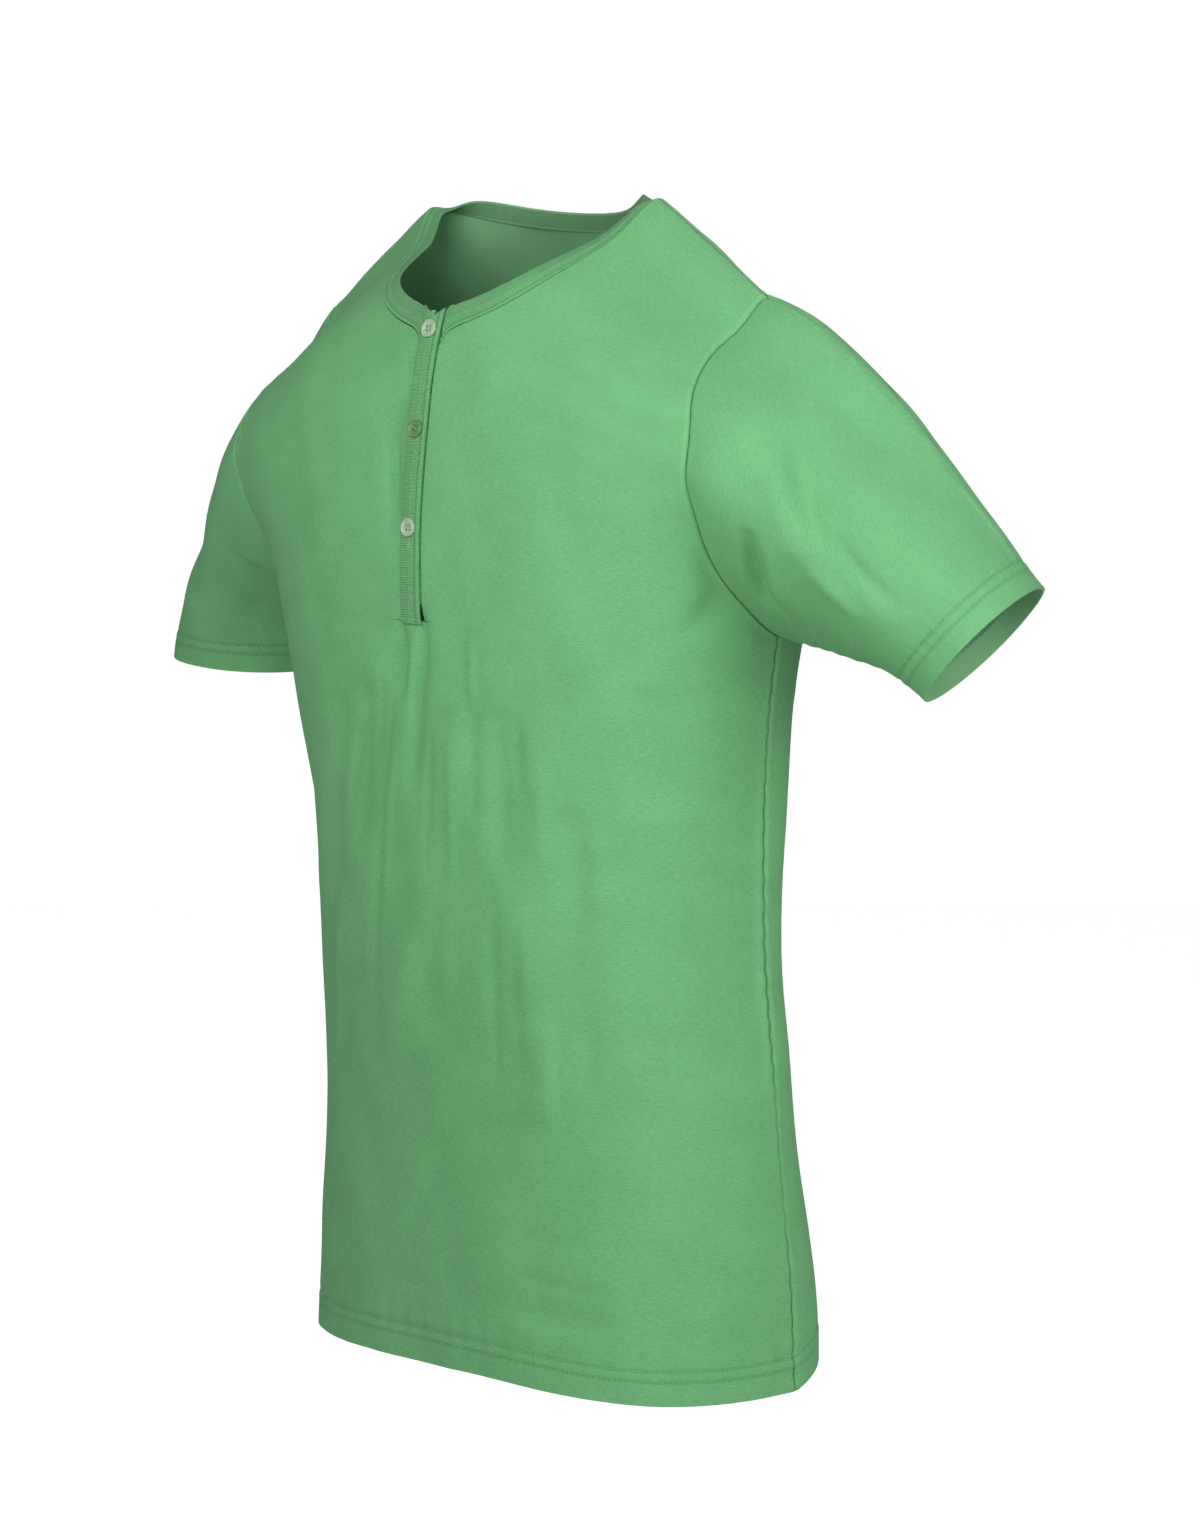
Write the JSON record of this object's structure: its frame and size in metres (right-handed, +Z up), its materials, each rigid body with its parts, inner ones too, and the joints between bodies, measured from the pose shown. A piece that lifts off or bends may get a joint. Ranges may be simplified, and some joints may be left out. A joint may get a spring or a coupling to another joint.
{
  "type": "henley shirt",
  "caption": "Short-sleeved henley shirt of green cotton jersey with a ribbed neckband, a narrow buttoned placket and turned hems, filled out as it is worn.",
  "frame": {"origin": "midway between the two high shoulder points, where the wearer's shoulders and neck carry the shirt", "axes": "+X towards the wearer's left, -Y towards the front, +Z up"},
  "size_m": [0.7371, 0.2313, 0.7324],
  "materials": {
    "jersey": "soft matte single jersey, mid green",
    "rib": "matte rib knit, mid green",
    "button_pale": "smooth pale greenish white, slightly see-through",
    "button_olive": "smooth olive green, slightly see-through"
  },
  "bodies": {
    "root": {"front_panel": "jersey", "back_panel": "jersey", "left_sleeve": "jersey", "right_sleeve": "jersey", "neckband": "rib", "upper_placket": "rib", "under_placket": "rib", "button_1": "button_pale", "button_2": "button_olive", "button_3": "button_pale"}
  },
  "joints": []
}
